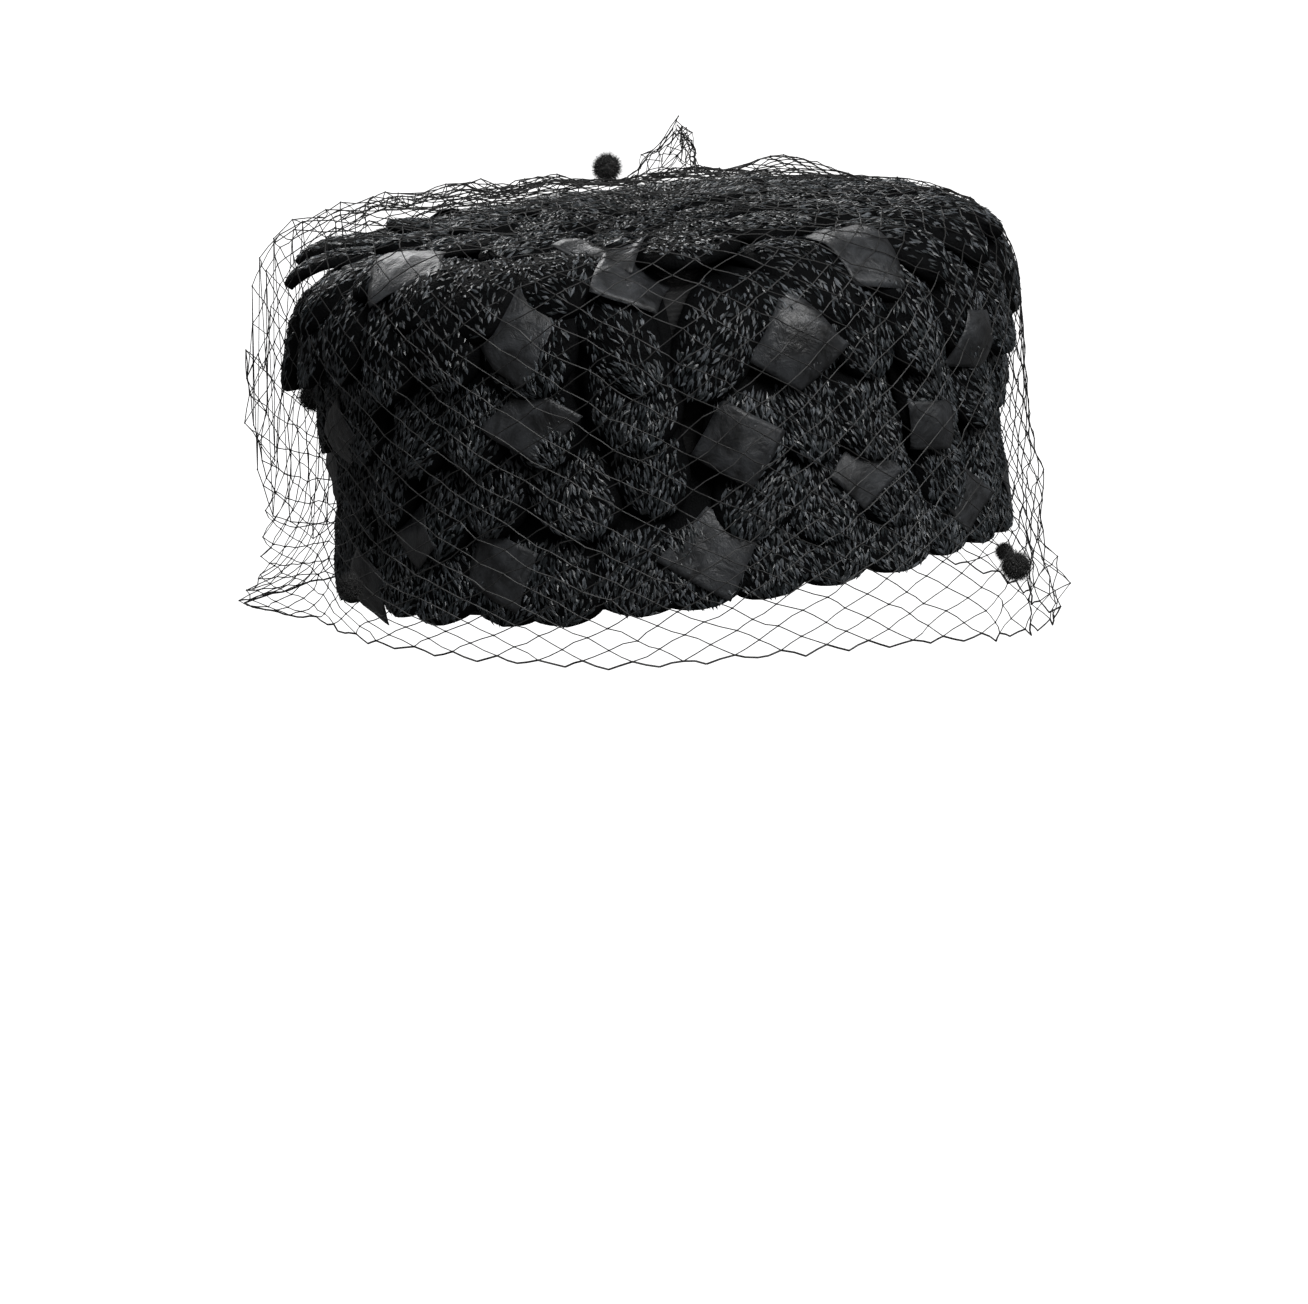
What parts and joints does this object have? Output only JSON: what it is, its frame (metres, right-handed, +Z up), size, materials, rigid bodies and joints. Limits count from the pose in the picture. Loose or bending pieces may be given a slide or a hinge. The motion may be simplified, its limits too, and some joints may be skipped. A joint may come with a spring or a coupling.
{
  "type": "pillbox hat",
  "caption": "Tall domed pillbox hat covered with overlapping knitted straw petals and shiny film squares, under a loose diamond net veil with chenille dots.",
  "frame": {"origin": "centre of the head opening, in the plane of the crown's lower edge, where the hat sits on a head", "axes": "+Z up through the top of the dome, -Y towards the front of the hat, -X towards the wearer's right"},
  "size_m": [0.2279, 0.2295, 0.1468],
  "materials": {
    "crown": "stiff black millinery cloth, matte",
    "straw": "knitted black straw with glossy flecks",
    "film": "thin shiny black film, slightly creased",
    "net": "fine black net thread",
    "chenille": "fluffy black chenille"
  },
  "bodies": {
    "root": {"chenille_dot_1": "chenille", "chenille_dot_2": "chenille", "chenille_dot_3": "chenille", "chenille_dot_4": "chenille", "chenille_dot_5": "chenille", "chenille_dot_6": "chenille", "chenille_dot_7": "chenille", "chenille_dot_8": "chenille", "crown": "crown", "film_square_1": "film", "film_square_10": "film", "film_square_11": "film", "film_square_12": "film", "film_square_13": "film", "film_square_14": "film", "film_square_15": "film", "film_square_16": "film", "film_square_17": "film", "film_square_18": "film", "film_square_19": "film", "film_square_2": "film", "film_square_20": "film", "film_square_21": "film", "film_square_22": "film", "film_square_23": "film", "film_square_24": "film", "film_square_25": "film", "film_square_26": "film", "film_square_27": "film", "film_square_28": "film", "film_square_3": "film", "film_square_4": "film", "film_square_5": "film", "film_square_6": "film", "film_square_7": "film", "film_square_8": "film", "film_square_9": "film", "petal_ring_1": "straw", "petal_ring_2": "straw", "petal_row_1": "straw", "petal_row_2": "straw", "petal_row_3": "straw", "petal_row_4": "straw", "petal_row_5": "straw", "petal_row_6": "straw", "veil": "net"}
  },
  "joints": []
}
